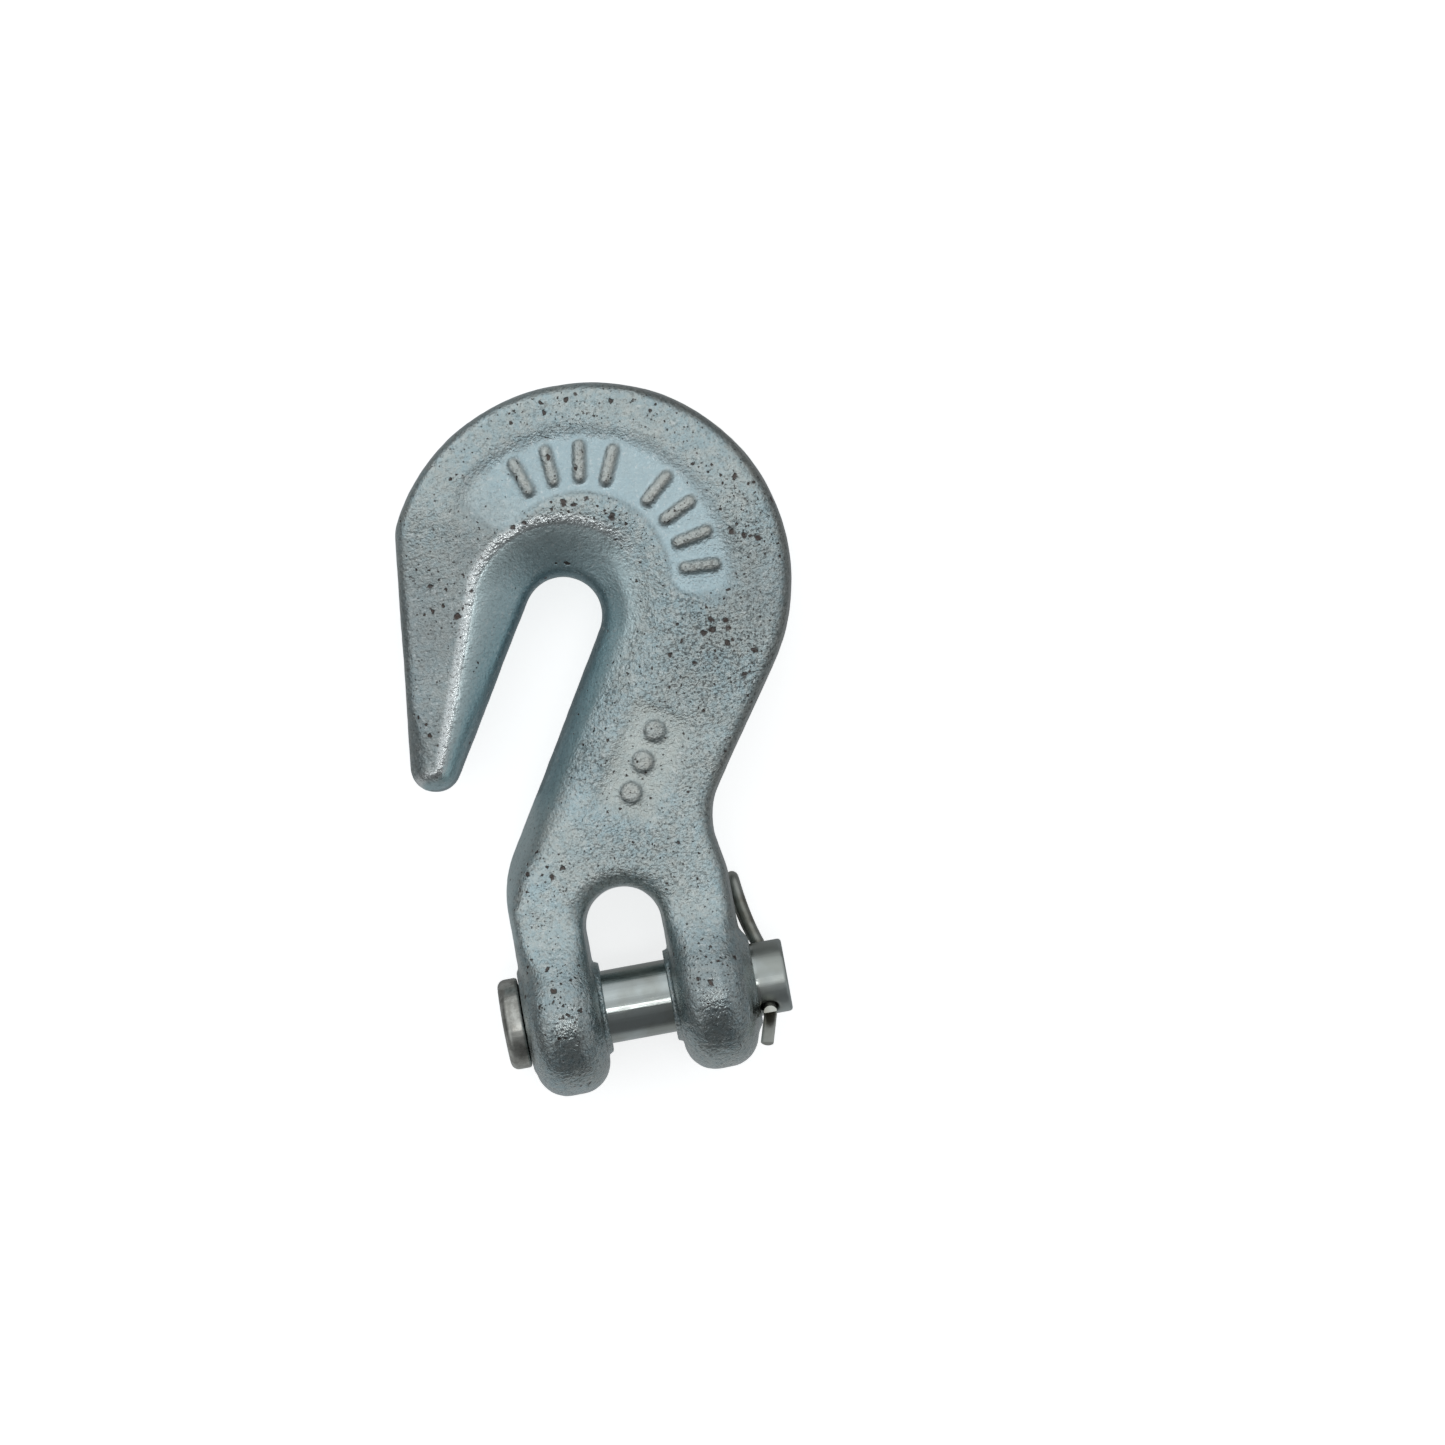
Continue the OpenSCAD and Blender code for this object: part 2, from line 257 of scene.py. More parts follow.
def chain_values(x, y, chain):
    """The values that go with the nearest place on a chain of points."""
    nearest = np.full(x.shape, np.inf, np.float32)
    values = [np.zeros(x.shape, np.float32) for _ in range(chain.shape[1] - 2)]
    for a, b in segments(chain, False):
        e = b[:2] - a[:2]
        if e @ e < 1e-9:
            continue
        t = np.clip(((x - a[0]) * e[0] + (y - a[1]) * e[1]) / (e @ e), 0, 1)
        d = (x - a[0] - t * e[0]) ** 2 + (y - a[1] - t * e[1]) ** 2
        closer = d < nearest
        nearest[closer] = d[closer]
        for k, value in enumerate(values):
            value[closer] = (a[k + 2] + t * (b[k + 2] - a[k + 2]))[closer]
    return [np.sqrt(nearest)] + values


# ---- Ways to join distance fields ----

def smooth_max(a, b, k):
    """The larger of two fields, with the edge between them rounded over about k."""
    return np.maximum(a, b) + np.maximum(k - np.abs(a - b), 0) ** 2 / (4 * k)


def smooth_min(a, b, k):
    """The smaller of two fields, joined in the same way."""
    return -smooth_max(-a, -b, k)


def ease(t):
    """0 below 0 and 1 above 1, with a smooth rise between."""
    t = np.clip(t, 0, 1)
    return t * t * (3 - 2 * t)


def rounded(a, b, r):
    """The corner between two faces at distances a and b, rounded with radius r."""
    return np.hypot(np.maximum(a + r, 0), np.maximum(b + r, 0)) + np.minimum(np.maximum(a, b) + r, 0) - r


def skin(field, low, step):
    """Four-sided faces round the part of the grid where the field is negative (naive surface nets)."""
    inside = field < 0
    shape = np.array(field.shape)
    total = np.zeros(tuple(shape - 1) + (3,), np.float32)
    count = np.zeros(tuple(shape - 1), np.int32)
    crossings = []
    for axis in range(3):
        a = [slice(None)] * 3
        b = [slice(None)] * 3
        a[axis], b[axis] = slice(0, -1), slice(1, None)
        a, b = tuple(a), tuple(b)
        where = np.argwhere(inside[a] != inside[b])
        i = tuple(where.T)
        fa, fb = field[a][i], field[b][i]
        at = where.astype(np.float32)
        at[:, axis] += fa / (fa - fb)
        flips = inside[a][i]
        crossings.append((axis, where, flips))
        others = [k for k in range(3) if k != axis]
        for du in (0, 1):
            for dv in (0, 1):
                cell = where.copy()
                cell[:, others[0]] -= du
                cell[:, others[1]] -= dv
                good = np.all((cell >= 0) & (cell < shape - 1), 1)
                c = tuple(cell[good].T)
                np.add.at(total, c, at[good])
                np.add.at(count, c, 1)
    used = count > 0
    index = np.full(count.shape, -1, np.int64)
    index[used] = np.arange(used.sum())
    verts = total[used] / count[used][:, None]
    faces = []
    for axis, where, flips in crossings:
        u, v = [k for k in range(3) if k != axis]
        corners = []
        for du, dv in ((1, 1), (0, 1), (0, 0), (1, 0)):
            cell = where.copy()
            cell[:, u] -= du
            cell[:, v] -= dv
            corners.append(index[tuple(cell.T)])
        quad = np.stack(corners, 1)
        forward = flips if axis != 1 else ~flips
        quad[~forward] = quad[~forward][:, ::-1]
        faces.append(quad)
    return low + verts * step, np.vstack(faces)


def grid(low, high, step):
    """Axes of a grid a little larger than a box, ready to broadcast against each other."""
    low = np.array(low) - 2.5 * step
    counts = np.ceil((np.array(high) + 2.5 * step - low) / step).astype(int) + 1
    x, y, z = (np.float32(low[k] + step * np.arange(counts[k])) for k in range(3))
    return low, x[:, None, None], y[None, :, None], z[None, None, :]


def lumps(points, size, seed):
    """Smooth random numbers from -1 to 1 at points in space, that change over about the size."""
    lattice = np.random.default_rng(seed).uniform(-1, 1, (64, 64, 64)).astype(np.float32)
    p = np.asarray(points, np.float32) / size + 1000
    cell = np.floor(p).astype(int)
    t = p - cell
    t = t * t * t * (t * (6 * t - 15) + 10)
    value = np.zeros(len(p), np.float32)
    for dx in (0, 1):
        for dy in (0, 1):
            for dz in (0, 1):
                share = (np.where(dx, t[:, 0], 1 - t[:, 0]) * np.where(dy, t[:, 1], 1 - t[:, 1])
                         * np.where(dz, t[:, 2], 1 - t[:, 2]))
                value += share * lattice[(cell[:, 0] + dx) % 64, (cell[:, 1] + dy) % 64,
                                         (cell[:, 2] + dz) % 64]
    return value


# ---- The forging ----

def beside_throat(px, py):
    """How far a place is from the throat's middle line, more than 0 on the point's side."""
    return (px - throat_c[0]) * slot_side[0] + (py - throat_c[1]) * slot_side[1]


def upper_face(px, py, fork, tip_c, reach, width):
    """The upper face's height above the middle plane, without its marks, and the radius of its edges."""
    # An arm of the fork rises along the tangent from its crease to its ear
    rim = np.sqrt(np.maximum(ear_r ** 2 - py ** 2, 0))
    touch = math.atan2(half_t, crease_y) + math.acos(ear_r / math.hypot(crease_y, half_t))
    touch_y, touch_z = ear_r * math.cos(touch), ear_r * math.sin(touch)
    ramp = half_t + (touch_z - half_t) * (crease_y - py) / (crease_y - touch_y)
    top = smooth_max(half_t, np.where(py < touch_y, rim, ramp), 1.2)
    edge = edge_r + (ear_round - edge_r - 0.2) * ease((crease_y + 1 - py) / (crease_y + 1 - touch_y))
    edge = edge + crown_round * ease(2 + fork / 3) * ease((py - crease_y) / 4)

    # The point thins toward its tip, and past the throat's bevel its face falls away toward its outer side
    along = (px - tip_c[0]) * math.sin(point_lean) + (py - tip_c[1]) * math.cos(point_lean)
    on_point = ease(beside_throat(px, py) / 4 + 0.5)
    slope = (half_t - tip_half) / fold_len
    top = top - on_point * slope * smooth_max(fold_len - along, 0, 5)
    fall_away = smooth_max(reach - 0.8 * width, 0, 0.8) * ease((fold_len - along) / 16)
    top = top - on_point * roof_slope * fall_away
    edge = edge + on_point * (2.0 * ease(1 - along / 9) - 0.5)
    return top, edge


def bore_rims(body, x, radius):
    """Adds a cone-shaped pad by the cotter, a thin pad under the pin's head, and lips inside the fork."""
    cone = np.clip(cone_r - cone_slope * (x - side_x), cone_least, cone_most)
    pad = np.maximum(radius - cone, x - side_x - pad_height)
    pad = np.maximum(pad, side_x - rim_root - x)
    body = smooth_min(body, pad, 0.5)
    head_pad = rounded(radius - head_pad_r, -side_x - head_pad_height - x, 0.2)
    head_pad = np.maximum(head_pad, x + side_x - rim_root)
    body = smooth_min(body, head_pad, 0.3)
    for sign in (-1, 1):
        lip = rounded(radius - lip_r, fork_half - lip_height - sign * x, 0.25)
        lip = np.maximum(lip, sign * x - fork_half - rim_root)
        body = smooth_min(body, lip, 0.2)
    return body


def forging_field(x, y, z, loop, inner, tip_c):
    """Distance field of the forging on a grid."""
    px, py = np.broadcast_arrays(x[:, :, 0], y[:, :, 0])
    px, py = px.astype(np.float32), py.astype(np.float32)
    side = np.float32(loop_distance(px, py, loop))
    fork = fork_half + fork_slack - np.hypot(px, np.maximum(py - arch_y, 0))
    side = smooth_max(side, fork, 0.2)

    # The reach is the distance from the throat's wall, less than 0 past it, outside the forging
    reach, width, land = chain_values(px, py, inner)
    reach = reach - 2 * np.maximum(side, 0)

    # Panels and the raised marks in them are on the upper face alone
    plain_top, edge = upper_face(px, py, fork, tip_c, reach, width)
    arc_share, plate_share, marks = die_marks(px, py)
    top = plain_top - panel_depth * np.maximum(arc_share, 0.7 * plate_share) + mark_height * marks

    # Bevels of the throat
    fall = (half_t - land) / width
    height = np.abs(z)
    steep = np.sqrt(1 + fall ** 2)[:, :, None]
    past_fork = ease((py - 12) / 6)[:, :, None]
    bevel = (height - (land + fall * reach)[:, :, None]) / steep - 20 * (1 - past_fork)

    # The flat part
    side, edge = side[:, :, None], edge[:, :, None]
    draft = wall_draft * np.maximum(height - 1.2, 0)
    face = height - np.where(z > 0, top[:, :, None], plain_top[:, :, None])
    soft = 1 - throat_crispness(px, py)
    blend = (1.6 + (0.65 * width - 1.6) * soft * ease(reach / width))[:, :, None]
    blade = smooth_max(rounded(side + draft, face, edge), bevel, blend)

    # Ears: discs with fully rounded rims
    radius = np.hypot(y, z)
    ear = rounded(np.abs(np.abs(x) - ear_x) - ear_w / 2, radius - ear_r, ear_round)
    body = ear + ease((y - 2.5) / 5) * (blade - ear)
    body = bore_rims(body, x, radius)
    return smooth_max(body, bore_r - radius + 0 * x, 0.5)


def throat_crispness(px, py):
    """1 where the top edge of the throat's bevel is crisp, on the point's side, and 0 on the shank's."""
    return ease(beside_throat(px, py) / 11 + 0.85)


def die_marks(px, py):
    """Where the face is sunk into the arc-shaped panel and into the small plate, and where a bar or a stud
    stands in one of them, each from 0 to 1."""
    # The arc-shaped panel in polar terms, with a softer outer edge than inner edge
    dx, dy = px - panel_c[0], py - panel_c[1]
    angle = np.arctan2(dy, dx)
    angle = np.where(angle < -math.pi / 2, angle + 2 * math.pi, angle)
    r = np.hypot(dx, dy)
    beyond = np.maximum(panel_from - angle, angle - panel_to) * panel_mid_r
    arc_panel = rounded(np.abs(r - panel_mid_r) - panel_half_w, beyond, 3.0)
    inner_edge = ease((panel_mid_r - r) / 2 + 0.5)
    arc_share = ease(0.5 - arc_panel / (3.6 - 2.2 * inner_edge))

    # The small plate along its own two directions
    lean_x = (px - plate_c[0]) * math.cos(plate_a) - (py - plate_c[1]) * math.sin(plate_a)
    lean_y = (px - plate_c[0]) * math.sin(plate_a) + (py - plate_c[1]) * math.cos(plate_a)
    plate = rounded(np.abs(lean_x) - plate_half[0], np.abs(lean_y) - plate_half[1], 2.0)
    plate_share = ease(0.5 - plate / 2.4)

    marks = np.zeros_like(px)
    for first in bar_groups:
        for k in range(bar_count):
            a = math.radians(first + bar_spread * k)
            u = dx * math.cos(a) + dy * math.sin(a)
            v = -dx * math.sin(a) + dy * math.cos(a)
            bar = np.hypot(np.maximum(np.abs(u - panel_mid_r) - bar_half_len, 0), v) - bar_r
            marks = np.maximum(marks, ease(0.5 - bar / mark_soft))
    for k in (-1, 0, 1):
        stud = np.hypot(lean_x, lean_y - stud_spacing * k) - stud_r
        marks = np.maximum(marks, ease(0.5 - stud / mark_soft))
    return arc_share, plate_share, marks


def make_mesh(name, verts, faces):
    """A smooth-shaded object from points in millimetres."""
    mesh = bpy.data.meshes.new(name)
    mesh.vertices.add(len(verts))
    mesh.vertices.foreach_set("co", np.asarray(verts * MM, np.float32).ravel())
    mesh.loops.add(faces.size)
    mesh.loops.foreach_set("vertex_index", faces.astype(np.int32).ravel())
    mesh.polygons.add(len(faces))
    mesh.polygons.foreach_set("loop_start", np.arange(0, faces.size, faces.shape[1], dtype=np.int32))
    mesh.update(calc_edges=True)
    mesh.validate()
    mesh.shade_smooth()
    obj = bpy.data.objects.new(name, mesh)
    bpy.context.scene.collection.objects.link(obj)
    return obj


def sampled(values, at):
    """The values of a grid at points that lie between its corners."""
    base = np.clip(np.floor(at).astype(int), 0, np.array(values.shape[:3]) - 2)
    share = at - base
    total = 0.0
    for corner in np.ndindex(2, 2, 2):
        weight = np.prod(np.where(corner, share, 1 - share), 1)
        total = total + (values[tuple((base + corner).T)].T * weight).T
    return total


def relaxed(verts, faces, field, low, step, rounds=5):
    """Spreads a skin's points evenly, puts each back on the surface, and gives the surface's normals."""
    slopes = np.stack(np.gradient(field, step), -1)
    counts = np.bincount(faces.ravel(), minlength=len(verts))[:, None]
    for _ in range(rounds):
        centres = verts[faces].mean(1)
        total = np.zeros_like(verts)
        for k in range(4):
            np.add.at(total, faces[:, k], centres)
        verts = verts + 0.7 * (total / counts - verts)
        at = (verts - low) / step
        normals = sampled(slopes, at)
        lengths = np.maximum(np.linalg.norm(normals, axis=1, keepdims=True), 0.2)
        normals = normals / lengths
        verts = verts - normals * np.clip(sampled(field, at)[:, None] / lengths, -0.5 * step, 0.5 * step)
    return verts, normals


def make_forging():
    """The forging, with its surface made uneven except in the bores."""
    loop, inner, tip_c = outline()
    low, x, y, z = grid(hook_low, hook_high, forging_step)
    field = forging_field(x, y, z, loop, inner, tip_c)
    verts, faces = skin(field, low, forging_step)
    verts, normals = relaxed(verts, faces, field, low, forging_step)
    zones = forging_zones(verts, normals, loop, inner)
    (broad, broad_depth), (middle, middle_depth), (fine, fine_depth) = surface_lumps
    rough = broad_depth * lumps(verts, broad, 1)
    rough = rough + (middle_depth + coarse_lump * zones["coarse"]) * lumps(verts, middle, 2)
    rough += fine_depth * lumps(verts, fine, 3) * (1 - 0.6 * zones["panel"])
    away_from_bore = ease(np.hypot(verts[:, 1], verts[:, 2]) - bore_r - 0.3)
    verts = verts + normals * (rough * away_from_bore - surface_shrink)[:, None]
    obj = make_mesh("forged_hook", verts, faces)
    for name, values in zones.items():
        attribute = obj.data.attributes.new(name, "FLOAT", "POINT")
        attribute.data.foreach_set("value", np.asarray(values, np.float32))
    return obj


def spots(verts, places):
    """The strongest of several round patches seen from above, where each place is an x, a y, a reach
    and a strength."""
    shares = [strength * ease(1 - np.hypot(verts[:, 0] - x, verts[:, 1] - y) / reach)
              for x, y, reach, strength in places]
    return np.maximum.reduce(shares)


def forging_zones(verts, normals, loop, inner):
    """How much each point belongs to a kind of surface, from 0 to 1."""
    px, py = verts[:, 0], verts[:, 1]
    facing = np.abs(normals[:, 2])
    marked = (verts[:, 2] > 0) * ease(facing * 4 - 2.6)
    arc_share, plate_share, marks = die_marks(px, py)
    panel = arc_share * (1 - marks) * marked
    edges = np.maximum(4 * marks * (1 - marks), 2 * arc_share * (1 - arc_share))

    reach, width, _ = chain_values(px, py, inner)
    near = (loop_distance(px, py, loop) < 0.5) & (py > 12)
    crisp = throat_crispness(px, py)
    bevel = near * ease((width - reach) / (1.2 + 0.35 * width * (1 - crisp)) + 0.3 * crisp)
    # The throat's ridge, which the material rubs smooth and paints with a highlight
    ridge = near * ease(1.35 - np.abs(reach - width - 0.1) / 0.9) * crisp * ease((py - 29) / 5)
    # Tilted faces round the edges, which the material darkens as painted shade
    rim = ease((0.94 - facing) * 3.5) * (py > 8) * (1 - bevel)

    coarse = spots(verts, (
        (20, 50, 22, 1.0), (4, 22, 16, 0.6), (28, 66, 14, 0.7), (18, 32, 12, 0.7), (-1, 38, 9, 0.8),
        (4, 47, 9, 0.8)))
    pits = spots(verts, (
        (4, 76, 9, 1.0), (-4, 76.5, 6, 1.0), (11, 73.5, 6, 1.0), (15.5, 68, 6, 1.0), (-11, 2, 8, 1.0),
        (11, 3.5, 7, 1.0), (29, 70, 12, 0.7), (-17, 64, 9, 0.6), (22, 50, 14, 0.6), (-12, 20, 10, 0.6),
        (6, 90, 12, 0.5)))
    # Painted shade: darker round patches on the point's face, on the bowl's upper left and right, and on the
    # ears, where the face catches less light
    shade_and_wear = spots(verts, (
        (-21, 60, 22, 1.0), (-24, 44, 20, 1.0), (30, 58, 12, 0.6), (-12, 70, 12, 0.9),
        (-21.5, 29, 8, 1.0), (-11, -1, 14, 0.7), (11, 0, 15, 1.0)))
    return {
        "panel": panel * (0.4 + 0.6 * ease((px + 14) / 20)),
        "plate": plate_share * (1 - marks) * marked,
        "marks": marks * marked,
        "outline": edges * (verts[:, 2] > 0),
        "bevel": bevel,
        "ridge": ridge,
        "wall": near * ease(1 - reach / width) * ease((py - 30) / 4),
        # The rim's painted shade is strongest on the right-hand side and faint on the left
        "rim": rim * (0.1 + 0.9 * ease((px - 8) / 12)),
        "ears": ease((3.0 - py) / 5),
        "shade_and_wear": shade_and_wear,
        "coarse": coarse * (1 - bevel),
        "pits": pits * (1 - panel) * (1 - 0.8 * bevel),
    }


# ---- The clevis pin ----

def make_pin():
    """The clevis pin: a shank with a crowned head and a cross hole."""
    low, x, y, z = grid(pin_low, pin_high, pin_step)
    radius = np.hypot(y, z)
    shank = rounded(radius - pin_r + 0 * x, x - pin_high[0] + 0 * y, 0.5)
    shank = np.maximum(shank, head_x - 1 - x)
    outer = pin_low[0] + 0.25 * (radius / head_r) ** 2
    head = rounded(radius - head_r + 0 * x, outer - x, 1.15)
    head = rounded(head, x - head_x + 0 * y, 0.35)
    field = smooth_min(shank, head, 0.5)
    hole_y, hole_z = -math.sin(cross_hole_a), -math.cos(cross_hole_a)
    hole = np.hypot(x - cross_x, y * hole_y + z * hole_z)
    field = smooth_max(field, cross_hole_r - hole, 0.5)
    verts, faces = skin(field, low, pin_step)
    return make_mesh("headed_pin", verts, faces)


# ---- The cotter pin ----

def smooth_path(points, radius, spacing=0.12):
    """Points along a path at even spacing, with its corners rounded over about the radius."""
    points = np.array(points, float)
    lengths = np.concatenate([[0], np.cumsum(np.linalg.norm(np.diff(points, axis=0), axis=1))])
    at = np.linspace(0, lengths[-1], int(lengths[-1] / spacing) + 1)
    even = np.column_stack([np.interp(at, lengths, points[:, k]) for k in range(3)])
    reach = max(1, int(radius / spacing))
    weights = np.hanning(2 * reach + 3)[1:-1]
    ends = np.vstack([2 * even[0] - even[reach:0:-1], even, 2 * even[-1] - even[-2:-reach - 2:-1]])
    return np.column_stack([np.convolve(ends[:, k], weights / weights.sum(), "valid") for k in range(3)])


def cotter_path():
    """The middle of the wire's flat face, from the short leg's end round the eye to the long leg's end.
    X leans toward the ear, Y runs along the cross hole toward the eye, and Z across the two legs."""
    short_end = [0, short_leg * math.cos(short_bend) - leg_root, short_leg * math.sin(short_bend) + leg_gap]
    long_end = [-(long_leg + 0.1) * math.tan(long_lean), -leg_root - long_leg, -leg_gap]
    centre = eye_reach - eye_root - eye_r - wire_r
    open_a = math.asin(eye_r / centre)
    eye = [[0, eye_root + centre - eye_r * math.sin(a), eye_r * math.cos(a)]
           for a in np.linspace(open_a, -math.pi - open_a, 40)]
    path = [short_end, [0, -leg_root, leg_gap], [0, eye_root, leg_gap]]
    path += eye
    path += [[0, eye_root, -leg_gap], [0, -leg_root, -leg_gap], long_end]
    path = smooth_path(path, 0.9)
    path[:, 0] -= eye_lean * (1 - np.exp(-np.maximum(path[:, 1] - eye_root, 0) / eye_lean_over))
    return path


def half_round():
    """The wire's section, a half circle with its two sharp edges taken off."""
    corner = 0.16
    angles = np.linspace(corner, math.pi - corner, 15)
    section = [[wire_r * math.cos(a), wire_r * math.sin(a)] for a in angles]
    section += [[-wire_r + 0.03, 0.06], [-wire_r + corner, 0]]
    section += [[s, 0] for s in np.linspace(-0.5, 0.5, 3)]
    section += [[wire_r - corner, 0], [wire_r - 0.03, 0.06]]
    return np.array(section)


def make_cotter():
    """The cotter pin: the half-round section swept along its path."""
    path = cotter_path()
    tangent = np.gradient(path, axis=0)
    tangent /= np.linalg.norm(tangent, axis=1, keepdims=True)
    across = np.cross(tangent, [1.0, 0, 0])
    across /= np.linalg.norm(across, axis=1, keepdims=True)
    aside = np.cross(tangent, across)
    section = half_round()
    count = len(section)
    verts = np.vstack([p + section[:, :1] * b - section[:, 1:] * a for p, a, b in zip(path, across, aside)])
    i = np.arange(len(path) - 1)[:, None] * count
    j = np.arange(count)[None, :]
    after = (j + 1) % count
    faces = np.stack([i + j, i + after, i + count + after, i + count + j], -1).reshape(-1, 4).tolist()
    faces += [list(range(count))[::-1], list(range(len(verts) - count, len(verts)))]

    # From the frame of the cross hole to that of the model
    turn = Matrix.Translation((cross_x * MM, 0, 0)) @ Matrix.Rotation(-cross_hole_a, 4, "X")
    mesh = bpy.data.meshes.new("split_cotter")
    mesh.from_pydata([Vector(v) * MM for v in verts.tolist()], [], faces)
    mesh.transform(turn)
    mesh.shade_smooth()
    mesh.validate()
    tidy = bmesh.new()
    tidy.from_mesh(mesh)
    bmesh.ops.recalc_face_normals(tidy, faces=tidy.faces)
    for edge in tidy.edges:
        edge.smooth = edge.calc_face_angle(0) < math.radians(50)
    tidy.to_mesh(mesh)
    tidy.free()
    obj = bpy.data.objects.new("split_cotter", mesh)
    bpy.context.scene.collection.objects.link(obj)
    return obj


# ---- Materials ----

class Nodes:
    """A short way to build a material's nodes."""

    def __init__(self, name):
        self.material = bpy.data.materials.new(name)
        self.material.use_nodes = True
        self.tree = self.material.node_tree
        self.shader = self.tree.nodes["Principled BSDF"]
        self.place = self.add("ShaderNodeTexCoord").outputs["Object"]

    def add(self, kind, **settings):
        node = self.tree.nodes.new(kind)
        for key, value in settings.items():
            setattr(node, key, value)
        return node

    def put(self, socket, value):
        """Sets a socket to a constant, or links another socket to it."""
        if isinstance(value, bpy.types.NodeSocket):
            self.tree.links.new(value, socket)
        else:
            socket.default_value = value

    def noise(self, scale, detail=2.0, rough=0.5, place=None):
        node = self.add("ShaderNodeTexNoise")
        self.put(node.inputs["Vector"], place or self.place)
        node.inputs["Scale"].default_value = scale
        node.inputs["Detail"].default_value = detail
        node.inputs["Roughness"].default_value = rough
        return node.outputs["Fac"]

    def zone(self, name):
        return self.add("ShaderNodeAttribute", attribute_name=name).outputs["Fac"]

    def stretched(self, x, y, z):
        """The place with each direction scaled, for streaks."""
        node = self.add("ShaderNodeMapping")
        self.put(node.inputs["Vector"], self.place)
        node.inputs["Scale"].default_value = (x, y, z)
        return node.outputs["Vector"]

    def dots(self, scale, size, density):
        """Dots with ragged rims: their size is a share of a cell's, and the density the share of cells
        that have one."""
        ragged = self.add("ShaderNodeVectorMath", operation="MULTIPLY_ADD")
        wobble = self.add("ShaderNodeTexNoise")
        self.put(wobble.inputs["Vector"], self.place)
        wobble.inputs["Scale"].default_value = scale * 2.5
        wobble.inputs["Detail"].default_value = 1.0
        self.put(ragged.inputs[0], wobble.outputs["Color"])
        ragged.inputs[1].default_value = (0.5 / scale,) * 3
        self.put(ragged.inputs[2], self.place)

        node = self.add("ShaderNodeTexVoronoi")
        self.put(node.inputs["Vector"], ragged.outputs["Vector"])
        node.inputs["Scale"].default_value = scale
        parts = self.add("ShaderNodeSeparateColor")
        self.put(parts.inputs["Color"], node.outputs["Color"])
        kept = self.math("LESS_THAN", parts.outputs["Red"], density)
        radius = self.math("MULTIPLY_ADD", parts.outputs["Green"], size, size / 2)
        rim = self.math("DIVIDE", node.outputs["Distance"], radius)
        return self.math("MULTIPLY", self.ramp(rim, 1.0, 0.55), kept)

    def ramp(self, value, low, high, out_low=0.0, out_high=1.0):
        """Maps a value between two bounds onto two others, smoothly."""
        node = self.add("ShaderNodeMapRange", interpolation_type="SMOOTHSTEP")
        self.put(node.inputs["Value"], value)
        bounds = {"From Min": low, "From Max": high, "To Min": out_low, "To Max": out_high}
        for key, number in bounds.items():
            node.inputs[key].default_value = number
        return node.outputs["Result"]

    def math(self, operation, a, b=0.0, c=0.0):
        node = self.add("ShaderNodeMath", operation=operation)
        for socket, value in zip(node.inputs, (a, b, c)):
            self.put(socket, value)
        return node.outputs[0]

    def mix(self, share, a, b):
        node = self.add("ShaderNodeMix", data_type="RGBA")
        self.put(node.inputs["Factor"], share)
        self.put(node.inputs["A"], a)
        self.put(node.inputs["B"], b)
        return node.outputs["Result"]

    def highest(self, *values):
        """The highest of several values."""
        total = values[0]
        for value in values[1:]:
            total = self.math("MAXIMUM", total, value)
        return total

    def bump(self, height, distance):
        node = self.add("ShaderNodeBump")
        node.inputs["Strength"].default_value = 1.0
        node.inputs["Distance"].default_value = distance
        self.put(node.inputs["Height"], height)
        return node.outputs["Normal"]


def rgb(r, g, b):
    """A colour given as it looks on a screen, from 0 to 255."""
    return tuple(((v / 255 + 0.055) / 1.055) ** 2.4 if v > 10 else v / 3295 for v in (r, g, b)) + (1.0,)


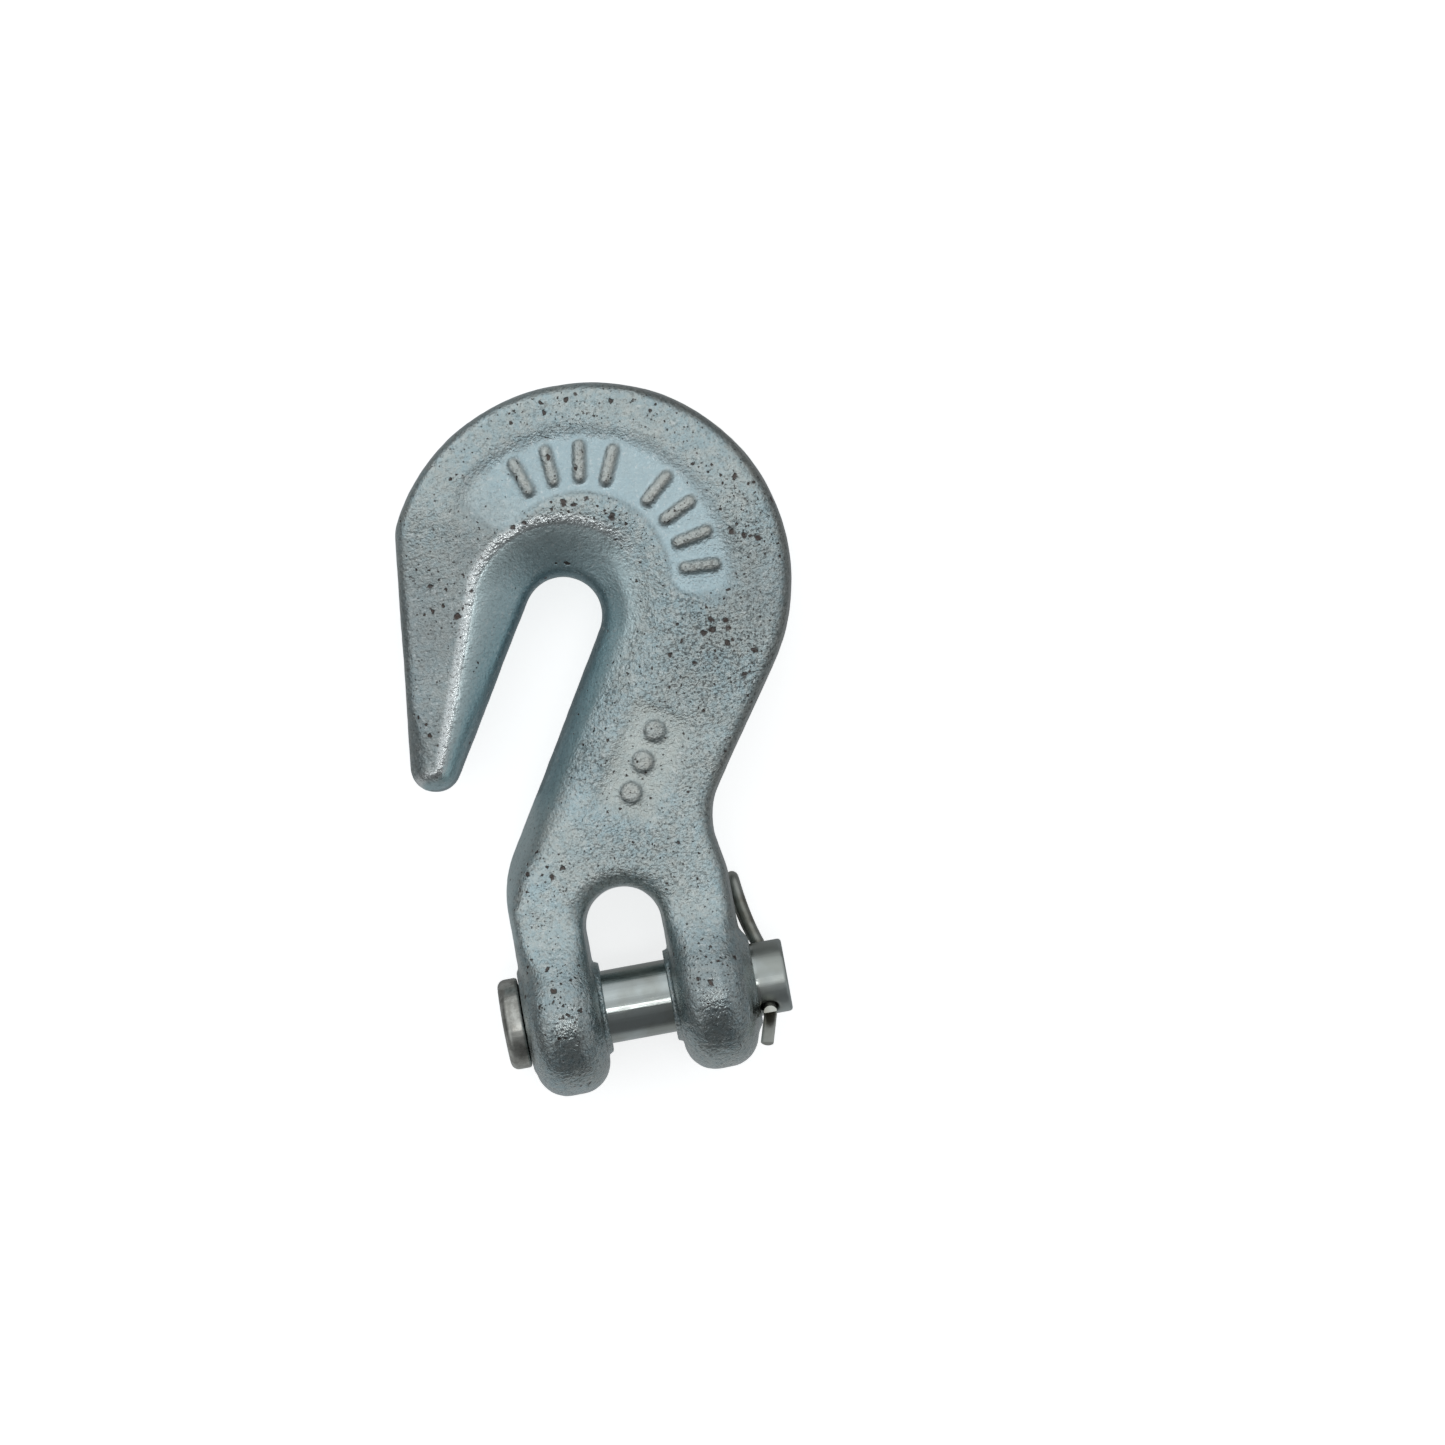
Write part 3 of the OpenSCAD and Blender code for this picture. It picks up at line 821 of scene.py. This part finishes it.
def forging_material():
    """Zinc plate on a forging: blue and beige mottling, flecks painted as glints, grit and pits, with painted
    shade and painted highlights.
    """
    n = Nodes("zinc_forging")
    panel, plate, marks, outline = n.zone("panel"), n.zone("plate"), n.zone("marks"), n.zone("outline")
    bevel, ridge, wall, rim = n.zone("bevel"), n.zone("ridge"), n.zone("wall"), n.zone("rim")
    ears, shade_and_wear, coarse, density = n.zone("ears"), n.zone("shade_and_wear"), n.zone("coarse"), n.zone("pits")

    # Blue zinc with warm beige mottling, cyan in the panels and teal on the bevels, with painted shade,
    # painted light and painted highlights laid over them
    patches = n.ramp(n.noise(90, 4, 0.7), 0.40, 0.62)
    mottle = n.ramp(n.noise(780, 6, 0.75), 0.40, 0.62)
    tone = rgb(176, 196, 201)
    for zone, share, colour in (
            (patches, 0.45, rgb(194, 197, 191)),
            (mottle, 0.5, rgb(207, 208, 202)),
            # Painted shade: the darker patches on the point, the bowl and the ears
            (shade_and_wear, 0.62, rgb(136, 142, 143)),
            # Painted shade: a darker warm grey on the rounded edges, mostly on the right-hand side
            (rim, 0.6, rgb(138, 136, 130)),
            (panel, 0.75, rgb(190, 212, 219)),
            (plate, 0.6, rgb(200, 204, 198)),
            (marks, 0.6, rgb(196, 195, 188)),
            # The bevels' teal is their own colour; their lighter tone is painted light on these sloped faces
            (bevel, 0.85, rgb(208, 226, 228)),
            (wall, 0.7, rgb(158, 188, 196)),
            # Painted shade: a dark band along the foot of the throat's wall, where the opposite wall shades
            # it
            (n.ramp(wall, 0.88, 1.0), 0.6, rgb(86, 108, 116)),
            # Painted highlight: near-white along the throat's ridge, which is also rubbed smooth
            (ridge, 0.65, rgb(236, 239, 239)),
            (outline, 0.34, rgb(96, 106, 110)),
            # Painted glints: small near-white flecks scattered over the zinc
            (n.ramp(n.noise(1500, 4, 0.7), 0.55, 0.66), 0.4, rgb(232, 236, 236))):
        tone = n.mix(n.math("MULTIPLY", zone, share), tone, colour)

    # Dark grit, and pits of three sizes with ragged rims
    grit = n.ramp(n.math("MULTIPLY_ADD", coarse, 0.03, n.noise(2100, 4, 0.65)), 0.525, 0.615)
    clean = n.highest(n.math("MULTIPLY", bevel, 0.5), panel, plate)
    grit_share = n.math("MULTIPLY", n.math("MULTIPLY_ADD", coarse, 0.32, 0.36),
                        n.math("MULTIPLY_ADD", clean, -0.8, 1.0))
    tone = n.mix(n.math("MULTIPLY", grit, grit_share), tone, rgb(66, 67, 68))
    bare = n.math("SUBTRACT", 1.0, n.highest(panel, n.math("MULTIPLY", bevel, 0.7)))
    tiny, small, large = (
        n.dots(scale, size, n.math("MULTIPLY", n.math("MULTIPLY_ADD", density, more, least), bare))
        for scale, size, more, least in ((1900, 0.24, 0.50, 0.20), (1050, 0.22, 0.60, 0.10),
                                         (560, 0.27, 1.0, 0.02)))
    pits = n.highest(n.math("MULTIPLY", tiny, 0.8), small, large)
    tone = n.mix(n.math("MULTIPLY", pits, 0.88), tone, rgb(70, 53, 47))
    n.put(n.shader.inputs["Base Color"], tone)
    n.shader.inputs["Metallic"].default_value = 0.95

    # The throat's ridge and the ears are rubbed smooth
    polish = n.highest(ridge, n.math("MULTIPLY", ears, 0.9))
    base = n.ramp(n.noise(420, 3), 0.3, 0.7, 0.28, 0.38)
    n.put(n.shader.inputs["Roughness"], n.math("MULTIPLY_ADD", polish, -0.20, base))

    grain = n.math("SUBTRACT", n.math("MULTIPLY_ADD", coarse, 1.1, 0.85),
                   n.math("MULTIPLY", n.highest(panel, bevel), 0.35))
    grain = n.highest(grain, n.math("MULTIPLY", polish, 1.1))
    fine = n.math("MULTIPLY", n.noise(2600, 3, 0.6), n.math("MULTIPLY_ADD", polish, -0.30, 0.50))
    broad = n.math("MULTIPLY", n.noise(1300, 2, 0.5), n.math("MULTIPLY_ADD", polish, 0.15, 0.5))
    height = n.math("MULTIPLY", n.math("ADD", fine, broad), grain)
    height = n.math("SUBTRACT", height, n.math("MULTIPLY", pits, 0.5))
    n.put(n.shader.inputs["Normal"], n.bump(height, 0.24 * MM))
    return n.material


def pin_material():
    """Turned plate on the pin's shank, and duller plate with wear on its head and its tail."""
    n = Nodes("turned_pin")
    along = n.add("ShaderNodeSeparateXYZ")
    n.put(along.inputs[0], n.place)
    head = n.ramp(along.outputs["X"], (head_x + 0.2) * MM, (head_x - 0.2) * MM)
    tail = n.ramp(along.outputs["X"], (side_x + 1.0) * MM, (side_x + 1.6) * MM)
    smooth = n.mix(n.ramp(n.noise(160, 3), 0.4, 0.65), rgb(190, 197, 196), rgb(172, 176, 171))
    shade_and_wear = n.mix(n.ramp(n.noise(420, 4, 0.65), 0.38, 0.62), rgb(206, 206, 200), rgb(158, 157, 151))
    n.put(n.shader.inputs["Base Color"], n.mix(head, smooth, shade_and_wear))
    n.shader.inputs["Metallic"].default_value = 1.0
    base = n.ramp(n.noise(300, 3), 0.3, 0.7, 0.12, 0.21)
    dull = n.math("MULTIPLY_ADD", head, 0.6, tail)
    n.put(n.shader.inputs["Roughness"], n.math("MULTIPLY_ADD", dull, 0.22, base))
    streaks = n.noise(1, 3, 0.6, n.stretched(60, 1400, 1400))
    n.put(n.shader.inputs["Normal"], n.bump(streaks, 0.03 * MM))
    return n.material


def cotter_material():
    """Dull drawn wire."""
    n = Nodes("drawn_wire")
    patches = n.ramp(n.noise(260, 3), 0.4, 0.65)
    n.put(n.shader.inputs["Base Color"], n.mix(patches, rgb(176, 178, 172), rgb(140, 138, 128)))
    n.shader.inputs["Metallic"].default_value = 1.0
    n.put(n.shader.inputs["Roughness"], n.ramp(n.noise(300, 3), 0.3, 0.7, 0.3, 0.42))
    return n.material


def floor_material():
    """Pale paper that stays white under the soft light."""
    n = Nodes("pale_floor")
    n.shader.inputs["Base Color"].default_value = (0.8, 0.8, 0.8, 1)
    n.shader.inputs["Roughness"].default_value = 0.9
    n.shader.inputs["Emission Color"].default_value = (1, 1, 1, 1)
    n.shader.inputs["Emission Strength"].default_value = 0.70
    return n.material


# ---- Stage, light and camera ----

# The camera looks straight down, with the hook turned a little in the picture
view_turn = math.radians(10.4)
view_centre = Vector((20.15, 39.2, 0)) * MM
view_width = 218.7 * MM
view_distance = 1.6

floor_half = 2.5
floor_gap = 0.02 * MM

# The key light, a rectangle above the picture's lower half, turned toward the middle of the hook
key_size = (0.28, 0.085)
key_power = 0.20
key_aim = Vector((0, 0.045, 0))
key_down = 0.14
key_aside = Vector((0.07, 0, 0.65))


def down_screen(distance):
    """A step in the plane toward the bottom of the picture."""
    return Vector((-math.sin(view_turn), -math.cos(view_turn), 0)) * distance


def make_camera():
    """The scene's camera, which looks straight down at the hook's marked face."""
    data = bpy.data.cameras.new("camera")
    data.sensor_width = 36
    data.lens = data.sensor_width * view_distance / view_width
    camera = bpy.data.objects.new("camera", data)
    camera.rotation_euler = (0, 0, -view_turn)
    camera.location = view_centre + Vector((0, 0, view_distance))
    bpy.context.scene.collection.objects.link(camera)
    bpy.context.scene.camera = camera


def make_key():
    """The key light, which draws the bright lines along the ridge and the pin."""
    data = bpy.data.lights.new("key", "AREA")
    data.shape = "RECTANGLE"
    data.size, data.size_y = key_size
    data.energy = key_power
    light = bpy.data.objects.new("key", data)
    light.location = key_aim + down_screen(key_down) + key_aside
    light.rotation_euler = (key_aim - light.location).to_track_quat("-Z", "Y").to_euler()
    bpy.context.scene.collection.objects.link(light)


def make_stage(forging, pin, cotter):
    """A floor under the hook as it lies: on one ear, on the cotter's eye and on the rim of the bowl."""
    points = []
    for piece in (forging, pin, cotter):
        co = np.empty(len(piece.data.vertices) * 3, np.float32)
        piece.data.vertices.foreach_get("co", co)
        points.append(co.reshape(-1, 3).astype(float))
    hook, _, wire = points
    ear = hook[(hook[:, 0] < 0) & (hook[:, 1] < 10 * MM)]
    rim = hook[hook[:, 1] > 88 * MM]
    touching = np.array([group[group[:, 2].argmin()] for group in (ear, wire, rim)])
    plane = np.linalg.solve(np.column_stack([touching[:, :2], np.ones(3)]), touching[:, 2])
    everything = np.vstack(points)
    clear = (everything[:, 2] - everything[:, :2] @ plane[:2] - plane[2]).min()
    normal = Vector((-plane[0], -plane[1], 1))

    corners = [(x * floor_half, y * floor_half, 0) for x, y in ((-1, -1), (1, -1), (1, 1), (-1, 1))]
    mesh = bpy.data.meshes.new("floor")
    mesh.from_pydata(corners, [], [(0, 1, 2, 3)])
    mesh.materials.append(floor_material())
    floor = bpy.data.objects.new("floor", mesh)
    floor.rotation_euler = normal.to_track_quat("Z", "Y").to_euler()
    floor.location = (0, 0, plane[2] + clear - floor_gap)
    floor.visible_glossy = False
    bpy.context.scene.collection.objects.link(floor)


def make_world():
    """A dim room with a pale ceiling, a pale wall past the top of the picture and dark below it."""
    world = bpy.data.worlds.new("studio")
    world.use_nodes = True
    tree = world.node_tree
    ray = tree.nodes.new("ShaderNodeTexCoord").outputs["Generated"]
    parts = tree.nodes.new("ShaderNodeSeparateXYZ")
    tree.links.new(ray, parts.inputs[0])
    east, north, height = parts.outputs

    def math_node(operation, a, b, c=0.0):
        node = tree.nodes.new("ShaderNodeMath")
        node.operation = operation
        for socket, value in zip(node.inputs, (a, b, c)):
            if isinstance(value, bpy.types.NodeSocket):
                tree.links.new(value, socket)
            else:
                socket.default_value = value
        return node.outputs[0]

    def rise(value, low, high, amount=1.0):
        """Grows from 0 to the amount as the value goes from one bound to the other."""
        node = tree.nodes.new("ShaderNodeMapRange")
        node.interpolation_type = "SMOOTHSTEP"
        tree.links.new(value, node.inputs["Value"])
        for key, number in {"From Min": low, "From Max": high, "To Max": amount}.items():
            node.inputs[key].default_value = number
        return node.outputs["Result"]

    def both(a, b):
        return math_node("MULTIPLY", a, b)

    top = down_screen(-1)
    toward_top = math_node("MULTIPLY_ADD", east, top.x, both(north, top.y))
    toward_right = math_node("MULTIPLY_ADD", east, top.y, both(north, -top.x))
    shade = math_node("SUBTRACT", 1.0, rise(toward_top, -0.20, -0.34, 0.85))
    ground_share = both(math_node("ADD", rise(toward_top, 0.3, -0.5, 0.5), 0.5),
                        math_node("SUBTRACT", 1.0, rise(toward_right, 0.2, 0.8, 0.5)))
    ceiling = both(rise(height, 0.55, 0.95, 0.54), shade)
    wall = both(rise(height, 0.05, 0.45), rise(toward_top, 0.1, 0.8, 0.60))
    left = both(rise(height, 0.1, 0.75), rise(toward_right, -0.15, -0.6, 0.5))
    right = both(rise(height, 0.0, 0.3), rise(toward_right, 0.4, 0.9, 0.35))
    bounce = both(rise(height, 0.1, -0.4), rise(toward_right, 0.4, 1.0, 0.14))
    ground = both(rise(height, 0.05, -0.4, 0.30), ground_share)
    total = 0.12
    for part in (ceiling, wall, left, right, bounce, ground):
        total = math_node("ADD", part, total)
    background = tree.nodes["Background"]
    background.inputs["Color"].default_value = (0.94, 0.98, 1.0, 1)
    tree.links.new(total, background.inputs["Strength"])
    bpy.context.scene.world = world


# ---- The scene ----

bpy.context.scene.view_settings.view_transform = "Standard"
make_camera()
make_world()
make_key()

forging, pin, cotter = make_forging(), make_pin(), make_cotter()
make_stage(forging, pin, cotter)
for piece, body, node, slot, material in (
        (forging, "hook", "hook_body", "plated_forging", forging_material()),
        (pin, "pin", "clevis_pin", "plated_pin", pin_material()),
        (cotter, "cotter", "cotter_pin", "cotter_wire", cotter_material())):
    piece.data.materials.append(material)
    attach(piece, body)
    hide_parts(node)
